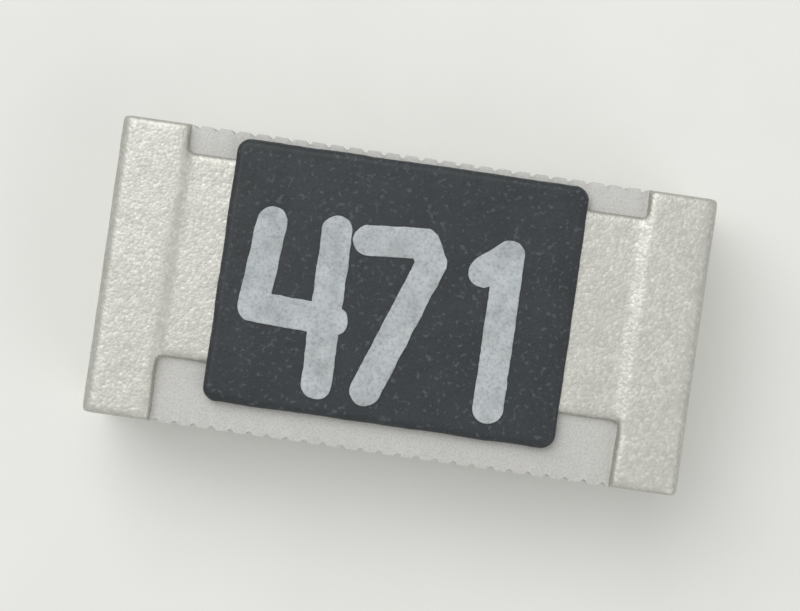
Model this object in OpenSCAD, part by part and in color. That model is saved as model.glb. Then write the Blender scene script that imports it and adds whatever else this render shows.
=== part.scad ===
// Thick-film chip resistor, 1608 metric, 470 ohm, lying on its two terminals.
// X runs along the chip, Y across it and Z up. The origin is the middle of the chip.

/* [Ceramic] */
// Length of the ceramic block between its end faces
ceramic_length = 1.552; // [1.4:0.002:1.8]
// Width of the ceramic block between its long sides
ceramic_width = 0.8; // [0.72:0.01:1]
// Thickness of the ceramic block
ceramic_thickness = 0.37; // [0.25:0.01:0.6]
// Radius of the worn edges along the two end faces
ceramic_edge_radius = 0.012; // [0.006:0.001:0.02]
// Distance between neighbouring laser holes along a snapped long side
scribe_pitch = 0.05; // [0.03:0.005:0.08]
// Radius of a laser hole at the top face
scribe_radius = 0.009; // [0.006:0.001:0.012]
// Radius of a laser hole at its bottom
scribe_tip_radius = 0.004; // [0.002:0.001:0.006]
// Depth of a laser hole below the top face
scribe_depth = 0.12; // [0.05:0.01:0.2]

/* [Electrodes] */
// Thickness of the printed top and bottom electrodes
electrode_thickness = 0.01; // [0.006:0.001:0.015]
// How far the coat reaches past a top electrode at the side where it covers least
face_side_inset = 0.075; // [0.06:0.001:0.09]
// How far the top electrodes, film and glass were printed off centre, across the chip
circuit_shift = 0.05; // [-0.02:0.005:0.05]
// Length of a bottom electrode that shows past the fold of the end electrode
back_electrode_bare_length = 0.16; // [0.1:0.01:0.2]
// Bare ceramic left at each side of the bottom and end electrodes
end_side_margin = 0.015; // [0.014:0.001:0.04]
// Thickness of the end electrode
end_thickness = 0.01; // [0.006:0.001:0.015]
// Distance from the coat to the fold of the end electrode, at the end where it is shortest
fold_clearance = 0.142; // [0.1:0.002:0.18]
// Radius of the end electrode's upright corners
end_corner_radius = 0.02; // [0.01:0.002:0.03]

/* [Plating] */
// Thickness of the nickel barrier
nickel_thickness = 0.006; // [0.004:0.001:0.01]
// Thickness of the outer tin
tin_thickness = 0.008; // [0.004:0.001:0.01]

/* [Resistive film] */
// Thickness of the resistive film
film_thickness = 0.01; // [0.006:0.001:0.015]
// How far the film lies on each top electrode
film_lap = 0.06; // [0.03:0.01:0.1]
// Width of the laser trimming cut
trim_kerf = 0.024; // [0.015:0.001:0.04]
// Distance of the trimming cut from the middle of the chip
trim_position = 0.1; // [0.05:0.01:0.15]
// How far the cut runs in from the film's long edge
trim_reach = 0.2; // [0.1:0.01:0.3]
// Length of the cut's second leg, along the chip
trim_leg = 0.15; // [0.08:0.01:0.2]

/* [Coats] */
// Length of the dark protective coat
coat_length = 0.95; // [0.85:0.01:0.98]
// Bare ceramic at each side of the coat, before the print's own shift
coat_side_margin = 0.045; // [0.035:0.005:0.06]
// Thickness of the coat where it is thinnest, over the film's raised ends
coat_thickness = 0.012; // [0.008:0.001:0.03]
// Radius of the coat's soft upper edge
coat_edge_radius = 0.014; // [0.008:0.001:0.015]
// Radius of the coat's corners seen from above
coat_corner_radius = 0.04; // [0.02:0.005:0.06]
// How far the coat was printed off centre, along the chip
coat_shift_x = -0.015; // [-0.02:0.005:0.02]
// How far the coat was printed off centre, across the chip
coat_shift_y = 0.03; // [-0.03:0.005:0.03]
// Thickness of the glass under the coat
glass_thickness = 0.008; // [0.005:0.001:0.012]
// How far the coat reaches past the glass at the end where it covers least
glass_end_inset = 0.017; // [0.016:0.001:0.04]
// How far the coat reaches past the glass at the side where it covers least
glass_side_inset = 0.09; // [0.08:0.002:0.12]
// Distance from the film's edge to the glass's edge, all round
film_inset = 0.012; // [0.006:0.002:0.03]

/* [Value code] */
// Height of a digit
digit_height = 0.49; // [0.3:0.01:0.52]
// Width of the widest digit
digit_width = 0.296; // [0.2:0.002:0.3]
// Distance from the middle of one digit to the middle of the next
digit_spacing = 0.258; // [0.25:0.002:0.27]
// Width of a printed stroke
stroke_width = 0.082; // [0.05:0.002:0.09]
// Thickness of the printed ink
ink_thickness = 0.005; // [0.003:0.001:0.01]
// How far the print sits off the coat's middle, along the chip
print_shift = -0.005; // [-0.01:0.005:0.04]
// Distance from the foot of the digits to the coat's edge
print_margin = 0.047; // [0.02:0.001:0.06]

/* [Hidden] */
$fn = 48;
// Extra depth of a cutting tool past the face that it opens
past = 0.01;

plating = nickel_thickness + tin_thickness;
terminal_height = electrode_thickness + end_thickness + plating;
coat_height = electrode_thickness + film_thickness + glass_thickness + coat_thickness;
total_height = terminal_height + ceramic_thickness + coat_height + ink_thickness;
seat = -total_height / 2;
ceramic_bottom = seat + terminal_height;
ceramic_top = ceramic_bottom + ceramic_thickness;
coat_top = ceramic_top + coat_height;
end_x = ceramic_length / 2;
lap_x = coat_length / 2 + abs(coat_shift_x) + fold_clearance;
end_lap = end_x - lap_x;
back_electrode_length = end_lap + back_electrode_bare_length;
end_width = ceramic_width - 2 * end_side_margin;

coat_width = ceramic_width - 2 * coat_side_margin;
coat_shift = [coat_shift_x, coat_shift_y, 0];
circuit_place = [0, circuit_shift, 0];
misprint = abs(coat_shift_y - circuit_shift);
face_electrode_width = coat_width - 2 * (misprint + face_side_inset);
glass_length = coat_length - 2 * (abs(coat_shift_x) + glass_end_inset);
glass_width = coat_width - 2 * (misprint + glass_side_inset);
film_length = glass_length - 2 * film_inset;
film_width = glass_width - 2 * film_inset;
electrode_gap = film_length - 2 * film_lap;

// General shapes

// Draws a child at the right-hand end, or mirrored at the left-hand end.
module at_end(side) {
    mirror([side == "left" ? 1 : 0, 0, 0]) children();
}

// Rectangle from one corner to the other, with round corners of radius r.
module round_rect(low, high, r) {
    size = high - low;
    translate(low + [r, 0]) square([size.x - 2 * r, size.y]);
    translate(low + [0, r]) square([size.x, size.y - 2 * r]);
    for (x = [low.x + r, high.x - r], y = [low.y + r, high.y - r])
        translate([x, y]) circle(r);
}

// Stands a section drawn in X and Z up across the chip.
module across(width) {
    rotate([90, 0, 0]) linear_extrude(height = width, center = true) children();
}

// Block of a given length and width, centred over the origin, between two heights.
module slab(length, width, low, high) {
    translate([-length / 2, -width / 2, low]) cube([length, width, high - low]);
}

// Ceramic block

module laser_holes() {
    holes = floor(ceramic_length / scribe_pitch);
    first_x = -(holes - 1) / 2 * scribe_pitch;
    for (i = [0 : holes - 1], side = [-1, 1])
        translate([first_x + i * scribe_pitch, side * ceramic_width / 2, ceramic_top - scribe_depth])
            cylinder(r1 = scribe_tip_radius, r2 = scribe_radius, h = scribe_depth);
}

module ceramic_body() {
    across(ceramic_width)
        round_rect([-end_x, ceramic_bottom], [end_x, ceramic_top], ceramic_edge_radius);
}

module ceramic_substrate() {
    color("ivory") difference() {
        ceramic_body();
        laser_holes();
    }
}

// Printed electrodes and the end electrode. As a cutting tool, each printed body sinks into the ceramic.

module face_electrode_body(sink = 0) {
    length = end_x - ceramic_edge_radius - electrode_gap / 2;
    translate(circuit_place + [electrode_gap / 2, -face_electrode_width / 2, ceramic_top - sink])
        cube([length, face_electrode_width, electrode_thickness + sink]);
}

module face_electrode(side) {
    color("silver") at_end(side) face_electrode_body();
}

module back_electrode_body(sink = 0) {
    length = back_electrode_length - ceramic_edge_radius;
    translate([end_x - back_electrode_length, -end_width / 2, ceramic_bottom - electrode_thickness])
        cube([length, end_width, electrode_thickness + sink]);
}

module back_electrode(side) {
    color("silver") at_end(side) back_electrode_body();
}

// Outline of the end electrode in X and Z, grown on all sides by the plating on it.
module end_outline(grow) {
    reach = end_thickness + electrode_thickness;
    radius = ceramic_edge_radius + end_thickness;
    difference() {
        round_rect(
            [lap_x - grow, ceramic_bottom - reach - grow],
            [end_x + end_thickness + grow, ceramic_top + reach + grow],
            radius + grow
        );
        translate([lap_x - end_lap, ceramic_bottom + radius + grow])
            square([2 * end_lap - radius - grow, ceramic_thickness - 2 * (radius + grow)]);
    }
}

// Block that holds the end electrode and its laps, with round upright corners.
module end_block(grow) {
    half = end_width / 2 + grow;
    intersection() {
        across(2 * half) end_outline(grow);
        translate([0, 0, seat - past]) linear_extrude(height = total_height + 2 * past)
            round_rect(
                [lap_x - end_lap, -half],
                [end_x + end_thickness + grow, half],
                end_corner_radius + grow
            );
    }
}

module end_electrode_body() {
    difference() {
        end_block(0);
        ceramic_body();
        face_electrode_body(past);
        back_electrode_body(past);
    }
}

module end_electrode(side) {
    color("gainsboro") at_end(side) end_electrode_body();
}

// Plating

// A film grown by the plating on it, on all sides but its outer end.
module plated_film(low, high, grow) {
    along = [grow, 0, 0];
    skin = [grow, grow, grow];
    translate(low - skin) cube(high - low + 2 * skin - along);
}

// Everything at one end that the plating bath can reach, grown by the plating's thickness. The films
// sink into the ceramic, which is cut away afterwards.
module plated_end(grow) {
    film_end = end_x - ceramic_edge_radius;
    end_block(grow);
    plated_film(
        circuit_place + [electrode_gap / 2, -face_electrode_width / 2, ceramic_top - past],
        circuit_place + [film_end, face_electrode_width / 2, ceramic_top + electrode_thickness],
        grow
    );
    plated_film(
        [end_x - back_electrode_length, -end_width / 2, ceramic_bottom - electrode_thickness],
        [film_end, end_width / 2, ceramic_bottom + past],
        grow
    );
}

// Plating between two thicknesses, cut off where the protective coat keeps the bath away.
module plating_layer(side, inner, outer) {
    difference() {
        at_end(side) difference() {
            plated_end(outer);
            plated_end(inner);
            ceramic_body();
        }
        coat_body(past);
    }
}

module nickel_barrier(side) {
    color("lightgray") plating_layer(side, 0, nickel_thickness);
}

module tin_plating(side) {
    color("lightgray") plating_layer(side, nickel_thickness, plating);
}

// Resistive film, glass and protective coat

module face_electrodes() {
    for (side = ["left", "right"]) at_end(side) face_electrode_body();
}

// A printed layer that steps up onto the top electrodes: flat in the middle, raised at both ends.
module stepped_layer(length, width, height) {
    raised = (length - electrode_gap) / 2 + height;
    translate(circuit_place) {
        slab(length, width, ceramic_top, ceramic_top + height);
        for (side = ["left", "right"])
            at_end(side)
                translate([length / 2 - raised, -width / 2, ceramic_top])
                    cube([raised, width, height + electrode_thickness]);
    }
}

// The laser's L-shaped cut, which narrows the film until its resistance is right.
module trim_cut() {
    height = electrode_thickness + film_thickness + glass_thickness + past;
    edge = -glass_width / 2 - past;
    turn = -film_width / 2 + trim_reach;
    translate(circuit_place + [-trim_position, edge, ceramic_top])
        cube([trim_kerf, turn - edge, height]);
    translate(circuit_place + [-trim_position, turn - trim_kerf, ceramic_top])
        cube([trim_leg, trim_kerf, height]);
}

module film_body() {
    difference() {
        stepped_layer(film_length, film_width, film_thickness);
        face_electrodes();
    }
}

module resistive_film() {
    color("dimgray") difference() {
        film_body();
        trim_cut();
    }
}

module glass_coat() {
    color("darkseagreen") difference() {
        stepped_layer(glass_length, glass_width, film_thickness + glass_thickness);
        face_electrodes();
        film_body();
        trim_cut();
    }
}

// Outside of the protective coat, with soft upper edges and round corners. It sinks as a tool does.
module coat_body(sink = 0) {
    half = [coat_length / 2, coat_width / 2];
    r = coat_edge_radius;
    translate(coat_shift) intersection() {
        across(coat_width)
            round_rect([-half.x, ceramic_top - r], [half.x, coat_top], r);
        rotate([0, 0, 90]) across(coat_length)
            round_rect([-half.y, ceramic_top - r], [half.y, coat_top], r);
        translate([0, 0, ceramic_top - sink]) linear_extrude(height = coat_height + sink)
            round_rect(-half, half, coat_corner_radius);
    }
}

module protective_coat() {
    color("darkslategray") difference() {
        coat_body();
        face_electrodes();
        resistive_film();
        glass_coat();
    }
}

// Value code

// Each digit is a list of strokes in a cell one unit wide and high, between stroke centres.
FOUR = [[[0.09, 1], [0, 0.44]], [[0, 0.44], [1, 0.42]], [[0.9, 1], [0.91, 0]]];
SEVEN = [[[0, 0.97], [0.86, 1]], [[0.86, 1], [1, 0.88]], [[1, 0.88], [0.27, 0]]];
ONE = [[[0, 0.87], [1, 1]], [[1, 1], [1, 0]]];

// Width of each narrower digit's cell, as a share of the widest one.
SEVEN_SHARE = 0.81;
ONE_SHARE = 0.29;

cell_height = digit_height - stroke_width;
cell_width = digit_width - stroke_width;
print_x = coat_shift_x + print_shift;
print_y = coat_shift_y - coat_width / 2 + print_margin + digit_height / 2;

module stroke(from, to) {
    step = to - from;
    for (end = [from, to]) translate(end) circle(d = stroke_width);
    translate(from) rotate(atan2(step.y, step.x)) translate([0, -stroke_width / 2])
        square([norm(step), stroke_width]);
}

// Place counts the digits from the middle one, and share narrows the cell.
module digit(strokes, place, share) {
    size = [cell_width * share, cell_height];
    middle = [print_x + place * digit_spacing, print_y];
    translate([0, 0, coat_top]) linear_extrude(height = ink_thickness)
        translate(middle - size / 2)
            for (s = strokes)
                stroke([s[0].x * size.x, s[0].y * size.y], [s[1].x * size.x, s[1].y * size.y]);
}

module digit_four() { color("lightsteelblue") digit(FOUR, -1, 1); }
module digit_seven() { color("lightsteelblue") digit(SEVEN, 0, SEVEN_SHARE); }
module digit_one() { color("lightsteelblue") digit(ONE, 1, ONE_SHARE); }

ceramic_substrate();
back_electrode("left");  // back_electrode_left
back_electrode("right");  // back_electrode_right
face_electrode("left");  // face_electrode_left
face_electrode("right");  // face_electrode_right
resistive_film();
glass_coat();
protective_coat();
end_electrode("left");  // end_electrode_left
end_electrode("right");  // end_electrode_right
nickel_barrier("left");  // nickel_barrier_left
nickel_barrier("right");  // nickel_barrier_right
tin_plating("left");  // tin_plating_left
tin_plating("right");  // tin_plating_right
digit_four();
digit_seven();
digit_one();
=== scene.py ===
import math

import bmesh
import bpy
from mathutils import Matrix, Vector, noise


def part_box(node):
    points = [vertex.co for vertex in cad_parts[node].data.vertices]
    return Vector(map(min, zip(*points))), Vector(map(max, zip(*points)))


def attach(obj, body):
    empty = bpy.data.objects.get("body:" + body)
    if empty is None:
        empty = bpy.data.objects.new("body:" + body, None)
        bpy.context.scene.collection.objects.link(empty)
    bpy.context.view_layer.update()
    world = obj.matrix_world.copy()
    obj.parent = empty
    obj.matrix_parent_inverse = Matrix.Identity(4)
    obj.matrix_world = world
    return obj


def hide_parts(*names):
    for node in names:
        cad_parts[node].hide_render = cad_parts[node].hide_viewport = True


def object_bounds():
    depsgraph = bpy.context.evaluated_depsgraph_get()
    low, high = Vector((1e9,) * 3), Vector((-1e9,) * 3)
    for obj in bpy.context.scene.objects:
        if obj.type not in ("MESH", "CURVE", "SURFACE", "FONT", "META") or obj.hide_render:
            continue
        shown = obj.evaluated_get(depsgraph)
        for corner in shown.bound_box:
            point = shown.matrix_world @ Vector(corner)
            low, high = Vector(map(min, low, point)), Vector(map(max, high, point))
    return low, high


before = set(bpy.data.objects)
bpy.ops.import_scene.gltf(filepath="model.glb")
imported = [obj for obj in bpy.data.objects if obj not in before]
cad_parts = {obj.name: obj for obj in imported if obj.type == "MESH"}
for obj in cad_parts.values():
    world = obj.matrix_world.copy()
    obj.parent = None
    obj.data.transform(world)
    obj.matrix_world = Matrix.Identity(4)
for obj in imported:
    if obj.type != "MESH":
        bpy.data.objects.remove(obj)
cad_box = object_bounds()


# Ceramic block. A chip of white fired alumina that carries every printed and plated layer.
# The plate it comes from is scored with rows of laser holes and snapped along them, so each
# long side keeps half of every hole near the top, and a grainy break below.
PER_METRE = 1000
LONG_EDGE_WEAR = 0.004
END_EDGE_RADIUS = 0.012
BLOCK_CUTS = (495, 9, 47)

# Laser holes, in millimetres
HOLE_SPACING = 0.05
HOLE_DEPTH = 0.12
HOLE_DEPTH_SPREAD = 0.18
HOLE_RADIUS = 0.009
HOLE_TIP_RADIUS = 0.004
HOLE_TIP_SHARE = 0.125
HOLE_DRAW = Vector((3.7, 5.1, 0.5))
SCORCH_START = 0.0036

# Snapped face, in millimetres
BREAK_RUN = 0.05
HOLLOW_DEPTH = 0.0045
HOLLOW_SIZE = 0.045
HACKLE_DEPTH = 0.0018
HACKLE_SIZE = 0.02
HACKLE_STRETCH = 0.15
PIT_DEPTH = 0.0018
PIT_SIZE = 0.014
PITS_ABOVE = 0.35
CHIP_DEPTH = 0.005
CHIP_SIZE = 0.06
CHIP_HEIGHT = 0.012
CHIP_FROM = 0.4375
CHIP_SPAN = 0.625

# Finish of the alumina
ALUMINA_SHADE = (0.585, 0.582, 0.56)
ALUMINA_WHITE = (0.62, 0.617, 0.597)
ALUMINA_ROUGHNESS = (0.5, 0.72)
ALUMINA_CLOUDS = 0.12
ALUMINA_DIMPLES = 0.02
ALUMINA_CRYSTALS = 0.006
GRAIN_GAPS = (0.84, 0.835, 0.82)
LASER_SCORCH = (0.83, 0.82, 0.785)
FULL = (1, 1, 1)


def corners(node):
    """Lowest and highest corner of a solid, in millimetres, as are all sizes of pieces here."""
    low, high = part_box(node)
    return low * PER_METRE, high * PER_METRE


def cube_between(low, high):
    """A closed box between two corners."""
    shape = bmesh.new()
    bmesh.ops.create_cube(shape, size=1.0)
    bmesh.ops.scale(shape, vec=high - low, verts=shape.verts)
    bmesh.ops.translate(shape, vec=(low + high) / 2, verts=shape.verts)
    return shape


def edges_along(shape, axis, aligned=0.95):
    """Edges that run along one axis."""
    found = []
    for edge in shape.edges:
        run = edge.verts[1].co - edge.verts[0].co
        if abs(run[axis]) > aligned * run.length:
            found.append(edge)
    return found


def bevel_edges(shape, edges, width, segments):
    """Breaks edges by a width on each side."""
    bmesh.ops.bevel(
        shape, geom=edges, offset=width, offset_type="OFFSET",
        segments=segments, profile=0.5, affect="EDGES", material=-1,
    )


def ease(t):
    """Soft step from 0 to 1."""
    t = min(max(t, 0.0), 1.0)
    return t * t * (3 - 2 * t)


def ripple(x, y, z, size):
    """Unevenness between 0 and 1 in bumps of about a size. A place further off gives another pattern."""
    return 0.5 + 0.5 * noise.noise(Vector((x, y, z)) / size)


ceramic_low, ceramic_high = corners("ceramic_substrate")
ceramic_half = (ceramic_high - ceramic_low) / 2
ceramic_middle = (ceramic_high + ceramic_low) / 2
hole_foot = ceramic_high.z - HOLE_DEPTH


def hole_cut(x, z, side):
    """How far the half of a laser hole cuts into a long side. No two holes are equally deep."""
    number = round(x / HOLE_SPACING)
    unevenness = noise.noise(Vector((number, side, 1)) * HOLE_DRAW)
    foot = hole_foot - HOLE_DEPTH_SPREAD * HOLE_DEPTH * unevenness
    rise = (z - foot) / (ceramic_high.z - foot)
    radius = HOLE_TIP_RADIUS + (HOLE_RADIUS - HOLE_TIP_RADIUS) * rise
    across = abs(x - number * HOLE_SPACING)
    if rise <= 0 or across >= radius:
        return 0.0
    return math.sqrt(radius * radius - across * across) * min(1.0, rise / HOLE_TIP_SHARE)


def break_hollow(x, z, side):
    """How far the snapped face of a long side lies back: hollows, upright hackle, pits and chips."""
    below = ease((hole_foot - z) / BREAK_RUN)
    hollow = HOLLOW_DEPTH * below * ripple(x, side, z, HOLLOW_SIZE)
    hackle = HACKLE_DEPTH * ripple(x, side * 5, z * HACKLE_STRETCH, HACKLE_SIZE)
    pits = PIT_DEPTH * (PITS_ABOVE + (1 - PITS_ABOVE) * below) * ripple(x, side * 3, z, PIT_SIZE)
    chips = 0.0
    if z - ceramic_low.z < CHIP_HEIGHT:
        chips = CHIP_DEPTH * ease((ripple(x, side * 7, 0, CHIP_SIZE) - CHIP_FROM) / CHIP_SPAN)
    return hollow + hackle + pits + chips


block = cube_between(ceramic_low, ceramic_high)
bevel_edges(block, edges_along(block, 0), LONG_EDGE_WEAR, segments=2)
for axis, cuts in enumerate(BLOCK_CUTS):
    bmesh.ops.subdivide_edges(block, edges=edges_along(block, axis), cuts=cuts, use_grid_fill=True)
scorch = block.verts.layers.float.new("scorch")
for vert in block.verts:
    x, y, z = vert.co
    side = math.copysign(1, y)
    if ceramic_half.y - abs(y) < 2 * LONG_EDGE_WEAR:
        cut = hole_cut(x, z, side)
        if z < ceramic_high.z - SCORCH_START:
            vert[scorch] = ease(cut / HOLE_TIP_RADIUS)
        vert.co.y = side * min(abs(y), ceramic_half.y - cut - break_hollow(x, z, side))
    past_x = abs(x) - (ceramic_half.x - END_EDGE_RADIUS)
    past_z = abs(z - ceramic_middle.z) - (ceramic_half.z - END_EDGE_RADIUS)
    if past_x > 0 and past_z > 0:
        excess = 1 - END_EDGE_RADIUS / max(END_EDGE_RADIUS, math.hypot(past_x, past_z))
        vert.co.x -= math.copysign(past_x * excess, x)
        vert.co.z -= math.copysign(past_z * excess, z - ceramic_middle.z)


def new_finish(name):
    """A material, its shader and the place on the piece in millimetres."""
    finish = bpy.data.materials.new(name)
    finish.use_nodes = True
    tree = finish.node_tree
    shader = tree.nodes["Principled BSDF"]
    where = tree.nodes.new("ShaderNodeTexCoord")
    millimetres = tree.nodes.new("ShaderNodeMapping")
    millimetres.inputs["Scale"].default_value = (PER_METRE, PER_METRE, PER_METRE)
    tree.links.new(where.outputs["Object"], millimetres.inputs["Vector"])
    return finish, tree, shader, millimetres.outputs["Vector"]


def grain(tree, place, size, detail=2.0):
    """Even noise whose spots are about the given size."""
    spots = tree.nodes.new("ShaderNodeTexNoise")
    spots.inputs["Scale"].default_value = 1 / size
    spots.inputs["Detail"].default_value = detail
    tree.links.new(place, spots.inputs["Vector"])
    return spots.outputs["Fac"]


def ramp(tree, value, *stops):
    """Colours along a value. Each stop is a position and a colour."""
    bar = tree.nodes.new("ShaderNodeValToRGB")
    marks = bar.color_ramp.elements
    for extra in stops[2:]:
        marks.new(1.0)
    for mark, (position, colour) in zip(marks, stops):
        mark.position = position
        mark.color = (*colour, 1)
    tree.links.new(value, bar.inputs["Fac"])
    return bar.outputs["Color"]


def combine(tree, way, first, second):
    """Two colours, one multiplied by the other or added to it."""
    mix = tree.nodes.new("ShaderNodeMix")
    mix.data_type = "RGBA"
    mix.blend_type = way
    mix.inputs["Factor"].default_value = 1.0
    tree.links.new(first, mix.inputs["A"])
    tree.links.new(second, mix.inputs["B"])
    return mix.outputs["Result"]


def between(tree, value, low, high):
    """A value from 0 to 1 brought into a narrower range."""
    spread = tree.nodes.new("ShaderNodeMapRange")
    spread.inputs["To Min"].default_value = low
    spread.inputs["To Max"].default_value = high
    tree.links.new(value, spread.inputs["Value"])
    return spread.outputs["Result"]


def roughen(tree, shader, *bumps):
    """Fine relief, each bump a height and its depth in thousandths of a millimetre."""
    normal = None
    for height, depth in bumps:
        bump = tree.nodes.new("ShaderNodeBump")
        bump.inputs["Strength"].default_value = 1.0
        bump.inputs["Distance"].default_value = depth / PER_METRE ** 2
        tree.links.new(height, bump.inputs["Height"])
        if normal:
            tree.links.new(normal, bump.inputs["Normal"])
        normal = bump.outputs["Normal"]
    tree.links.new(normal, shader.inputs["Normal"])


def finished_piece(shape, name, finish, sharp):
    """A shape in millimetres made into an object in metres, with edges past an angle kept sharp."""
    bmesh.ops.scale(shape, vec=Vector((1, 1, 1)) / PER_METRE, verts=shape.verts)
    mesh = bpy.data.meshes.new(name)
    shape.to_mesh(mesh)
    shape.free()
    mesh.shade_smooth()
    mesh.set_sharp_from_angle(angle=math.radians(sharp))
    mesh.materials.append(finish)
    piece = bpy.data.objects.new(name, mesh)
    bpy.context.scene.collection.objects.link(piece)
    return piece


alumina, tree, shader, place = new_finish("fired_alumina")
crystals = grain(tree, place, ALUMINA_CRYSTALS)
clouds = grain(tree, place, ALUMINA_CLOUDS, detail=3)
whiteness = ramp(tree, clouds, (0.3, ALUMINA_SHADE), (0.7, ALUMINA_WHITE))
gaps = ramp(tree, crystals, (0.3, GRAIN_GAPS), (0.6, FULL))
marks = tree.nodes.new("ShaderNodeAttribute")
marks.attribute_name = "scorch"
burn = ramp(tree, marks.outputs["Fac"], (0.1, FULL), (0.9, LASER_SCORCH))
body = combine(tree, "MULTIPLY", whiteness, gaps)
tree.links.new(combine(tree, "MULTIPLY", body, burn), shader.inputs["Base Color"])
tree.links.new(between(tree, crystals, *ALUMINA_ROUGHNESS), shader.inputs["Roughness"])
roughen(tree, shader, (grain(tree, place, ALUMINA_DIMPLES), 1.6), (crystals, 0.9))

alumina_block = finished_piece(block, "alumina_block", alumina, sharp=35)
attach(alumina_block, "root")
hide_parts("ceramic_substrate")


# Printed electrodes. Two silver pads under the chip and two on top of it, printed as paste
# and fired on, one at each end. The top pair meets the resistive film under the coat.
SILVER_SHADE = (0.62, 0.60, 0.56)
SILVER_BRIGHT = (0.82, 0.80, 0.76)


def layer_finish(name, spot, detail, shades, roughness, relief, metallic=0.0):
    """A finish in spots of two shades, with uneven gloss and a relief in thousandths of a millimetre."""
    finish, tree, shader, place = new_finish(name)
    spots = grain(tree, place, spot, detail)
    tree.links.new(ramp(tree, spots, (0.3, shades[0]), (0.7, shades[1])), shader.inputs["Base Color"])
    tree.links.new(between(tree, spots, *roughness), shader.inputs["Roughness"])
    shader.inputs["Metallic"].default_value = metallic
    roughen(tree, shader, (spots, relief))
    return finish


def dress(nodes, finish):
    """Gives solids that stay as they are their finish."""
    for node in nodes:
        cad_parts[node].material_slots[0].material = finish


silver = layer_finish(
    "fired_silver", spot=0.008, detail=3, shades=(SILVER_SHADE, SILVER_BRIGHT),
    roughness=(0.4, 0.62), relief=0.8, metallic=1.0,
)
dress(["back_electrode_left", "back_electrode_right"], silver)
dress(["face_electrode_left", "face_electrode_right"], silver)


# Resistive film. A black strip of metal oxide in glass, printed from one top electrode to the
# other and fired. An L-shaped laser cut narrows it until its resistance is right.
OXIDE_BLACK = (0.018, 0.018, 0.02)
OXIDE_GREY = (0.045, 0.045, 0.05)

oxide = layer_finish(
    "fired_oxide", spot=0.01, detail=3, shades=(OXIDE_BLACK, OXIDE_GREY),
    roughness=(0.32, 0.5), relief=0.6,
)
dress(["resistive_film"], oxide)


# Glass coat. A thin green glaze, printed and fired over the film before it is trimmed. It keeps
# the edges of the laser cut from cracking.
GLAZE_DEEP = (0.09, 0.17, 0.13)
GLAZE_PALE = (0.15, 0.25, 0.2)

glaze = layer_finish(
    "green_glaze", spot=0.05, detail=3, shades=(GLAZE_DEEP, GLAZE_PALE),
    roughness=(0.14, 0.28), relief=1.2,
)
dress(["glass_coat"], glaze)


# Protective coat. A dark epoxy slab, screen printed over the film and cured. Its edge is soft
# and wavers a little, and its middle sinks slightly between the raised ends of the film.
COAT_CELLS = (160, 124)
COAT_CROWDING = 0.4
COAT_CORNER_RADIUS = 0.04
SHOULDER_WIDTH = 0.022
SHOULDER_DROP = 0.016
LAYER_CLEARANCE = 0.006
GLASS_STEP_RUN = 0.024

# Sag and swell of the surface, and waver of the edges, in millimetres
COAT_SAG = 0.002
SAG_OVERLAP = 0.02
SAG_RUN = 0.06
COAT_SWELL = 0.0009
COAT_SWELL_SIZE = 0.07
COAT_PEEL = 0.0004
COAT_PEEL_SIZE = 0.02
EDGE_REACH = 0.05
EDGE_WAVE = 0.005
EDGE_WAVE_SIZE = 0.11
EDGE_TOOTH = 0.002
EDGE_TOOTH_SIZE = 0.025

# Finish of the epoxy
EPOXY_DARK = (0.022, 0.027, 0.031)
EPOXY_GREY = (0.031, 0.037, 0.042)
EPOXY_ROUGHNESS = (0.36, 0.52)
EPOXY_CLOUDS = 0.09
EPOXY_DIMPLES = 0.03
FILLER_SIZE = 0.007
FILLER_LOW = (0.7, 0.7, 0.7)
FLECK_SIZE = 0.013
FLECK = (0.036, 0.041, 0.045)
NOTHING = (0, 0, 0)

coat_low, coat_high = corners("protective_coat")
coat_half = (coat_high - coat_low) / 2
coat_middle = (coat_high + coat_low) / 2
glass_low, glass_high = corners("glass_coat")
electrode_low, electrode_high = corners("face_electrode_right")
electrode_thickness = electrode_high.z - electrode_low.z


def coat_sink(x, y):
    """How far the coat's surface lies below the solid's flat top."""
    sag = COAT_SAG * ease((electrode_low.x + SAG_OVERLAP - abs(x)) / SAG_RUN)
    swell = COAT_SWELL * ripple(x, y, 0.3, COAT_SWELL_SIZE)
    peel = COAT_PEEL * ripple(x, y, 0.7, COAT_PEEL_SIZE)
    return sag + swell + peel


def beside(low, high, y):
    """Whether a place across the chip lies on a layer or just beside it."""
    return low.y - LAYER_CLEARANCE < y < high.y + LAYER_CLEARANCE


def under_coat(x, y):
    """Height of the printed layers that the coat lies on, above the ceramic."""
    height = 0.0
    if abs(x) > electrode_low.x and beside(electrode_low, electrode_high, y):
        height = electrode_thickness
    if abs(x) < glass_high.x + LAYER_CLEARANCE and beside(glass_low, glass_high, y):
        height = glass_high.z - glass_low.z
        if abs(x) < electrode_low.x - GLASS_STEP_RUN:
            height -= electrode_thickness
    return height


def crowded(t):
    """A place between -1 and 1 moved outwards, so that the mesh is finer near the edges."""
    return t * (1 + COAT_CROWDING * (1 - t * t))


def edge_waver(along, edge):
    """How far one printed edge lies back from a straight line."""
    wave = EDGE_WAVE * ripple(along, edge, 0, EDGE_WAVE_SIZE)
    return wave + EDGE_TOOTH * ripple(along, edge + 9, 0, EDGE_TOOTH_SIZE)


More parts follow.
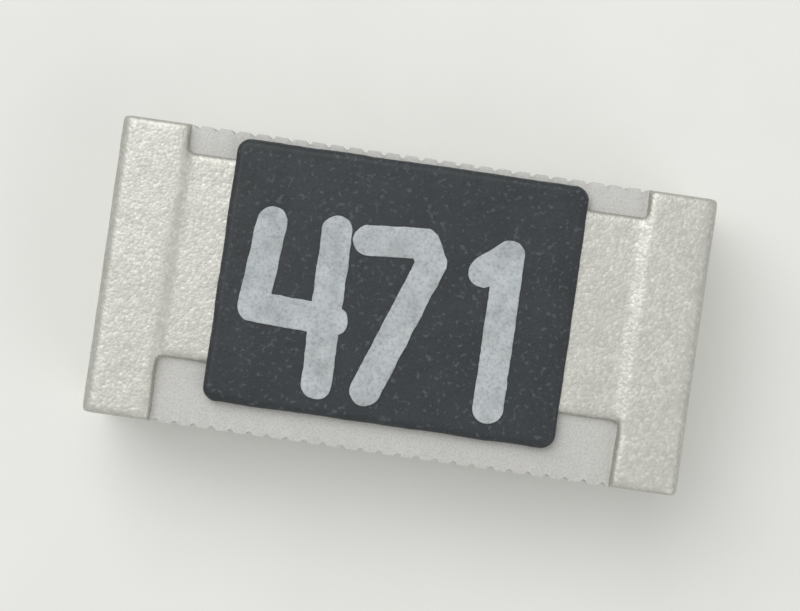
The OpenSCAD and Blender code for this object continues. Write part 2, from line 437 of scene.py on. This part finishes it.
coat = bmesh.new()
bmesh.ops.create_grid(coat, x_segments=COAT_CELLS[0], y_segments=COAT_CELLS[1], size=1.0)
risen = bmesh.ops.extrude_face_region(coat, geom=coat.faces[:], use_keep_orig=True)["geom"]
upper = {part for part in risen if isinstance(part, bmesh.types.BMVert)}
for vert in coat.verts:
    x = coat_half.x * crowded(vert.co.x)
    y = coat_half.y * crowded(vert.co.y)
    inside = min(coat_half.x - abs(x), coat_half.y - abs(y))
    past_x = abs(x) - (coat_half.x - COAT_CORNER_RADIUS)
    past_y = abs(y) - (coat_half.y - COAT_CORNER_RADIUS)
    if past_x > 0 and past_y > 0:
        pull = 1 - max(past_x, past_y) / math.hypot(past_x, past_y)
        x -= math.copysign(past_x * pull, x)
        y -= math.copysign(past_y * pull, y)
    back_x = edge_waver(y, math.copysign(1, x)) * ease(1 - (coat_half.x - abs(x)) / EDGE_REACH)
    back_y = edge_waver(x, math.copysign(3, y)) * ease(1 - (coat_half.y - abs(y)) / EDGE_REACH)
    x += coat_middle.x - math.copysign(back_x, x)
    y += coat_middle.y - math.copysign(back_y, y)
    z = ceramic_high.z + under_coat(x, y)
    if vert in upper:
        rim = max(0.0, 1 - inside / SHOULDER_WIDTH)
        z = coat_high.z - coat_sink(x, y) - SHOULDER_DROP * (1 - math.sqrt(1 - rim * rim))
    vert.co = (x, y, z)
bmesh.ops.recalc_face_normals(coat, faces=coat.faces)

epoxy, tree, shader, place = new_finish("dark_epoxy")
filler = grain(tree, place, FILLER_SIZE)
clouds = grain(tree, place, EPOXY_CLOUDS, detail=3)
darkness = ramp(tree, clouds, (0.3, EPOXY_DARK), (0.7, EPOXY_GREY))
body = combine(tree, "MULTIPLY", darkness, ramp(tree, filler, (0.35, FILLER_LOW), (0.65, FULL)))
flecks = ramp(tree, grain(tree, place, FLECK_SIZE, detail=1), (0.6, NOTHING), (0.72, FLECK))
tree.links.new(combine(tree, "ADD", body, flecks), shader.inputs["Base Color"])
tree.links.new(between(tree, filler, *EPOXY_ROUGHNESS), shader.inputs["Roughness"])
shader.inputs["Specular IOR Level"].default_value = 0.38
roughen(tree, shader, (grain(tree, place, EPOXY_DIMPLES), 1.0), (filler, 0.5))

coat_slab = finished_piece(coat, "protective_coat_slab", epoxy, sharp=40)
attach(coat_slab, "root")
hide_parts("protective_coat")


# Value code. Three digits in pale marking ink, printed on the coat and cured. The first two are
# the figures and the last the number of noughts, in ohms: 47 and one nought.
INK_EDGE = 0.0025
INK_MESH = 0.007
INK_SLIVER = 0.0006
SAME_SPOT = 0.0002
SLICE_SNAP = 0.00002
FLAT_ANGLE = 1
BRIM_ANGLE = 45

# Ragged outline and uneven cover of the print, in millimetres
SMUDGE = 0.004
SMUDGE_SIZE = 0.03
FRAY = 0.002
FRAY_SIZE = 0.012
INK_TOP = 0.0005
INK_THINNING = 0.0012
INK_THINNING_SIZE = 0.03

# Finish of the ink
INK_SHADE = (0.39, 0.42, 0.43)
INK_PALE = (0.53, 0.565, 0.58)
INK_THIN = (0.72, 0.73, 0.74)
INK_ROUGHNESS = (0.5, 0.7)
INK_CLOUDS = 0.05
INK_DIMPLES = 0.02
PIGMENT_SIZE = 0.008


def slice_at(shape, axis, spots):
    """Cuts edges across a shape at spots along one axis."""
    normal = Vector((0, 0, 0))
    normal[axis] = 1
    for spot in spots:
        bmesh.ops.bisect_plane(
            shape, geom=shape.verts[:] + shape.edges[:] + shape.faces[:],
            dist=SLICE_SNAP, plane_co=normal * spot, plane_no=normal,
        )


def steps(limits, size):
    """Even spots between neighbouring limits, no further apart than about the size."""
    limits = sorted(limits)
    found = []
    for low, high in zip(limits, limits[1:]):
        count = max(1, math.ceil((high - low) / size - 0.01))
        found += [low + (high - low) * i / count for i in range(count)]
    return found[1:]


def smudge(x, y, layer):
    """How far the ink's outline strays sideways."""
    stray = SMUDGE * (ripple(x, y, layer, SMUDGE_SIZE) - 0.5)
    return stray + FRAY * (ripple(x, y, layer + 5, FRAY_SIZE) - 0.5)


ink, tree, shader, place = new_finish("marking_ink")
pigment = grain(tree, place, PIGMENT_SIZE)
shade = ramp(tree, grain(tree, place, INK_CLOUDS, detail=3), (0.32, INK_SHADE), (0.66, INK_PALE))
cover = ramp(tree, pigment, (0.28, INK_THIN), (0.55, FULL))
tree.links.new(combine(tree, "MULTIPLY", shade, cover), shader.inputs["Base Color"])
tree.links.new(between(tree, pigment, *INK_ROUGHNESS), shader.inputs["Roughness"])
roughen(tree, shader, (grain(tree, place, INK_DIMPLES), 1.0), (pigment, 0.6))

for node in ("digit_four", "digit_seven", "digit_one"):
    digit_low, digit_high = corners(node)
    digit = bmesh.new()
    digit.from_mesh(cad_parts[node].data)
    bmesh.ops.scale(digit, vec=(PER_METRE, PER_METRE, PER_METRE), verts=digit.verts)
    bmesh.ops.remove_doubles(digit, verts=digit.verts, dist=SAME_SPOT)
    bmesh.ops.dissolve_limit(
        digit, angle_limit=math.radians(FLAT_ANGLE), verts=digit.verts, edges=digit.edges,
    )
    brim = []
    for edge in digit.edges:
        on_top = all(abs(v.co.z - digit_high.z) < SAME_SPOT for v in edge.verts)
        if on_top and edge.calc_face_angle(0) > math.radians(BRIM_ANGLE):
            brim.append(edge)
    bevel_edges(digit, brim, INK_EDGE, segments=2)
    slice_at(digit, 0, steps([digit_low.x, digit_high.x], INK_MESH))
    slice_at(digit, 1, steps([digit_low.y, digit_high.y], INK_MESH))
    bmesh.ops.dissolve_degenerate(digit, dist=INK_SLIVER, edges=digit.edges)
    for vert in digit.verts:
        x, y, z = vert.co
        thinness = 0.0
        if z > digit_high.z - INK_TOP:
            thinness = INK_THINNING * ripple(x, y, 5, INK_THINNING_SIZE)
        vert.co += Vector((smudge(x, y, 1), smudge(x, y, 3), -coat_sink(x, y) - thinness))
    bmesh.ops.recalc_face_normals(digit, faces=digit.faces)
    ink_digit = finished_piece(digit, "ink_" + node, ink, sharp=50)
    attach(ink_digit, "root")
    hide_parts(node)


# End electrodes. Conductive paste rolled onto each end of the bar and cured, which joins the
# top electrode to the bottom one round the end of the ceramic.
PASTE_SHADE = (0.46, 0.45, 0.42)
PASTE_BRIGHT = (0.66, 0.64, 0.60)

paste = layer_finish(
    "end_paste", spot=0.012, detail=3, shades=(PASTE_SHADE, PASTE_BRIGHT),
    roughness=(0.45, 0.7), relief=1.2, metallic=0.9,
)
dress(["end_electrode_left", "end_electrode_right"], paste)


# Nickel barriers. Plated over the electrodes in a barrel bath, to keep the silver from
# dissolving into the solder.
NICKEL_SHADE = (0.50, 0.47, 0.42)
NICKEL_BRIGHT = (0.66, 0.62, 0.56)

nickel = layer_finish(
    "plated_nickel", spot=0.005, detail=2, shades=(NICKEL_SHADE, NICKEL_BRIGHT),
    roughness=(0.28, 0.45), relief=0.5, metallic=1.0,
)
dress(["nickel_barrier_left", "nickel_barrier_right"], nickel)


# Tin plating. The matte, solderable skin of each terminal, plated over the nickel. It follows
# the end electrode's fold and its step down to the top electrode, and runs up to the coat.
TIN_THICKNESS = 0.008
TIN_MESH = 0.01
END_CHAMFER = 0.02
NECK_TUCK = 0.02
ROUNDING_TURNS = 6
ON_FACE = 0.0004
AT_END = 0.001
FAR = 9

# Waver of the fold, and swell of the surface, in millimetres
FOLD_REACH = 0.05
FOLD_SET = 0.0098
FOLD_WAVE = 0.0112
FOLD_WAVE_SIZE = 0.16
FOLD_TOOTH = 0.0042
FOLD_TOOTH_SIZE = 0.05
TIN_SWELL = 0.0016
TIN_SWELL_SIZE = 0.07
TIN_PEEL = 0.0008
TIN_PEEL_SIZE = 0.022

# Finish of the tin
TIN_DARK = (0.46, 0.455, 0.425)
TIN_GREY = (0.52, 0.515, 0.48)
TIN_BRIGHT = (0.58, 0.575, 0.54)
TIN_TARNISH = (0.96, 0.955, 0.945)
TIN_ROUGHNESS = (0.45, 0.57)
TIN_CRYSTALS = 0.008
TIN_CLOUDS = 0.1
TIN_DIMPLES = 0.028
TIN_GRAIN = 0.009


def faces_at(shape, axis, spot, low=(-FAR, -FAR, -FAR), high=(FAR, FAR, FAR)):
    """Faces that lie flat at a spot along an axis, with their middle between two corners."""
    found = []
    for face in shape.faces:
        if all(abs(v.co[axis] - spot) < ON_FACE for v in face.verts):
            middle = face.calc_center_median()
            if all(low[i] <= middle[i] <= high[i] for i in range(3)):
                found.append(face)
    return found


def pull_out(shape, faces, run):
    """Extrudes faces along X and returns them in their new place."""
    made = bmesh.ops.extrude_face_region(shape, geom=faces)["geom"]
    bmesh.ops.delete(shape, geom=faces, context="FACES")
    moved = [part for part in made if isinstance(part, bmesh.types.BMVert)]
    bmesh.ops.translate(shape, vec=(run, 0, 0), verts=moved)
    return [part for part in made if isinstance(part, bmesh.types.BMFace)]


def give_wall(skin, thickness):
    """Gives an open skin its wall on the inner side, closed along its rim."""
    bmesh.ops.recalc_face_normals(skin, faces=skin.faces)
    skin.normal_update()
    outward = skin.verts.layers.float_vector.new("outward")
    for vert in skin.verts:
        vert[outward] = vert.normal
    made = bmesh.ops.extrude_face_region(skin, geom=skin.faces[:], use_keep_orig=True)["geom"]
    for part in made:
        if isinstance(part, bmesh.types.BMVert):
            part.co -= part[outward] * thickness
    skin.verts.layers.float_vector.remove(outward)
    bmesh.ops.recalc_face_normals(skin, faces=skin.faces)


def crystal_cells(tree, place, size):
    """Crystals of about the given size: two shades for each, and the distance from its middle."""
    cells = tree.nodes.new("ShaderNodeTexVoronoi")
    cells.inputs["Scale"].default_value = 1 / size
    tree.links.new(place, cells.inputs["Vector"])
    split = tree.nodes.new("ShaderNodeSeparateColor")
    tree.links.new(cells.outputs["Color"], split.inputs["Color"])
    return split.outputs["Red"], split.outputs["Green"], cells.outputs["Distance"]


tin, tree, shader, place = new_finish("matte_tin")
facet, polish, dome = crystal_cells(tree, place, TIN_CRYSTALS)
shade = ramp(tree, facet, (0.0, TIN_DARK), (0.75, TIN_GREY), (1.0, TIN_BRIGHT))
tarnish = ramp(tree, grain(tree, place, TIN_CLOUDS, detail=3), (0.3, TIN_TARNISH), (0.6, FULL))
tree.links.new(combine(tree, "MULTIPLY", shade, tarnish), shader.inputs["Base Color"])
tree.links.new(between(tree, polish, *TIN_ROUGHNESS), shader.inputs["Roughness"])
shader.inputs["Metallic"].default_value = 1.0
dimples = grain(tree, place, TIN_DIMPLES)
roughen(tree, shader, (dimples, 1.1), (grain(tree, place, TIN_GRAIN, detail=1), 0.7), (dome, -0.5))

for side, way in (("left", -1), ("right", 1)):
    # Sizes of a terminal that points along +X
    tin_low, tin_high = corners("tin_plating_" + side)
    end_low, end_high = corners("end_electrode_" + side)
    pad_low, pad_high = corners("back_electrode_" + side)
    plating = tin_high.z - end_high.z
    outer = max(abs(tin_low.x), abs(tin_high.x))
    chamfer_x = outer - END_CHAMFER
    fold = min(abs(end_low.x), abs(end_high.x)) - plating
    pad_edge = min(abs(pad_low.x), abs(pad_high.x)) - plating
    pad_foot = pad_low.z - plating
    neck_edge = coat_half.x + way * coat_middle.x - NECK_TUCK
    neck_low = electrode_low.y - plating
    neck_high = electrode_high.y + plating
    neck_top = electrode_high.z + plating

    # Block of the fold, without the faces that lie on the ceramic
    skin = cube_between(Vector((fold, tin_low.y, tin_low.z)), Vector((outer, tin_high.y, tin_high.z)))
    end_edges = [edge for edge in edges_along(skin, 1) if edge.verts[0].co.x > outer - AT_END]
    bevel_edges(skin, end_edges, END_CHAMFER, segments=1)
    slice_at(skin, 0, [ceramic_half.x])
    slice_at(skin, 1, [neck_low, neck_high])
    slice_at(skin, 2, [pad_foot, ceramic_low.z, ceramic_high.z, neck_top])
    bare_low = (-FAR, -FAR, ceramic_low.z)
    bare_high = (ceramic_half.x, FAR, ceramic_high.z)
    bare = faces_at(skin, 0, fold, bare_low, bare_high)
    bare += faces_at(skin, 1, tin_high.y, bare_low, bare_high)
    bare += faces_at(skin, 1, tin_low.y, bare_low, bare_high)
    bmesh.ops.delete(skin, geom=bare, context="FACES")

    # Neck to the coat, and pad under the chip
    neck = faces_at(skin, 0, fold, (-FAR, neck_low, ceramic_high.z), (FAR, neck_high, neck_top))
    covered = pull_out(skin, neck, neck_edge - fold)
    pad = faces_at(skin, 0, fold, (-FAR, -FAR, pad_foot), (FAR, FAR, ceramic_low.z))
    pull_out(skin, pad, pad_edge - fold)
    covered += faces_at(skin, 2, ceramic_high.z) + faces_at(skin, 2, ceramic_low.z)
    bmesh.ops.delete(skin, geom=covered, context="FACES")

    # Even mesh, wavering fold and rounded edges
    slice_at(skin, 0, steps([pad_edge, neck_edge, fold, ceramic_half.x, chamfer_x, outer], TIN_MESH))
    slice_at(skin, 1, steps([tin_low.y, neck_low, neck_high, tin_high.y], TIN_MESH))
    levels = [
        tin_low.z, tin_low.z + END_CHAMFER, ceramic_low.z,
        ceramic_high.z, tin_high.z - END_CHAMFER, tin_high.z,
    ]
    slice_at(skin, 2, steps(levels, TIN_MESH))
    for vert in skin.verts:
        x, y, z = vert.co
        wave = FOLD_WAVE * ripple(way, y, z, FOLD_WAVE_SIZE)
        tooth = FOLD_TOOTH * ripple(way * 3, y, z, FOLD_TOOTH_SIZE)
        vert.co.x += (wave + tooth - FOLD_SET) * ease(1 - abs(x - fold) / FOLD_REACH)
    free = [vert for vert in skin.verts if not vert.is_boundary]
    for turn in range(ROUNDING_TURNS):
        bmesh.ops.smooth_vert(
            skin, verts=free, factor=0.5, use_axis_x=True, use_axis_y=True, use_axis_z=True,
        )
    skin.normal_update()
    for vert in free:
        x, y, z = vert.co
        swell = TIN_SWELL * ripple(x, y * way, z, TIN_SWELL_SIZE)
        peel = TIN_PEEL * ripple(x, y, z * way, TIN_PEEL_SIZE)
        vert.co -= vert.normal * (swell + peel)

    # Turned to its own end, and given its wall
    bmesh.ops.scale(skin, vec=(way, 1, 1), verts=skin.verts)
    give_wall(skin, TIN_THICKNESS)
    tin_skin = finished_piece(skin, "tin_skin_" + side, tin, sharp=60)
    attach(tin_skin, "root")
    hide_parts("tin_plating_" + side)


# Floor. A plain pale sheet under the chip, which takes its shadow.
FLOOR_HALF = 60
FLOOR_SHADE = (0.855, 0.86, 0.83)
FLOOR_PALE = (0.875, 0.88, 0.85)
FLOOR_CLOUDS = 0.4

sheet = bmesh.new()
bmesh.ops.create_grid(sheet, x_segments=1, y_segments=1, size=FLOOR_HALF)
bmesh.ops.translate(sheet, vec=(0, 0, cad_box[0].z * PER_METRE), verts=sheet.verts)
pale, tree, shader, place = new_finish("pale_floor")
shade = ramp(tree, grain(tree, place, FLOOR_CLOUDS), (0.3, FLOOR_SHADE), (0.7, FLOOR_PALE))
tree.links.new(shade, shader.inputs["Base Color"])
shader.inputs["Roughness"].default_value = 0.9
shader.inputs["Specular IOR Level"].default_value = 0.1
finished_piece(sheet, "floor", pale, sharp=30)


# Light. Two soft boxes over the chip, in metres and watts, and an even, pale room round it.
ROOM_COLOUR = (1.0, 1.0, 0.985)
ROOM_LIGHT = 0.5
ROOM_SEEN = 0.8


def soft_box(name, spot, size, power):
    """A square lamp that looks at the chip."""
    lamp = bpy.data.lights.new(name, "AREA")
    lamp.shape = "SQUARE"
    lamp.size = size
    lamp.energy = power
    box = bpy.data.objects.new(name, lamp)
    box.location = spot
    box.rotation_mode = "QUATERNION"
    box.rotation_quaternion = (-Vector(spot)).to_track_quat("-Z", "Y")
    box.visible_camera = False
    bpy.context.scene.collection.objects.link(box)


soft_box("key_light", spot=(-0.007, 0.008, 0.0145), size=0.016, power=0.0018)
soft_box("fill_light", spot=(0.013, -0.008, 0.011), size=0.014, power=0.00055)

room = bpy.data.worlds.new("pale_room")
bpy.context.scene.world = room
room.use_nodes = True
tree = room.node_tree
backdrop = tree.nodes["Background"]
backdrop.inputs["Color"].default_value = (*ROOM_COLOUR, 1)
ray = tree.nodes.new("ShaderNodeLightPath")
seen = ray.outputs["Is Camera Ray"]
for kind in ("Is Glossy Ray", "Is Transmission Ray"):
    either = tree.nodes.new("ShaderNodeMath")
    either.operation = "MAXIMUM"
    tree.links.new(seen, either.inputs[0])
    tree.links.new(ray.outputs[kind], either.inputs[1])
    seen = either.outputs["Value"]
tree.links.new(between(tree, seen, ROOM_LIGHT, ROOM_SEEN), backdrop.inputs["Strength"])


# Camera. Straight above the chip, turned so that the digits read slightly downhill.
CAMERA_HEIGHT = 0.0061
CAMERA_TURN = 8.2
LENS_LENGTH = 100
SENSOR_WIDTH = 36
NEAREST = 0.0002
FARTHEST = 0.2

lens = bpy.data.cameras.new("camera")
lens.lens = LENS_LENGTH
lens.sensor_width = SENSOR_WIDTH
lens.clip_start = NEAREST
lens.clip_end = FARTHEST
camera = bpy.data.objects.new("camera", lens)
camera.location = (0, 0, CAMERA_HEIGHT)
camera.rotation_euler = (0, 0, math.radians(CAMERA_TURN))
bpy.context.scene.collection.objects.link(camera)
bpy.context.scene.camera = camera
bpy.context.scene.view_settings.view_transform = "Standard"
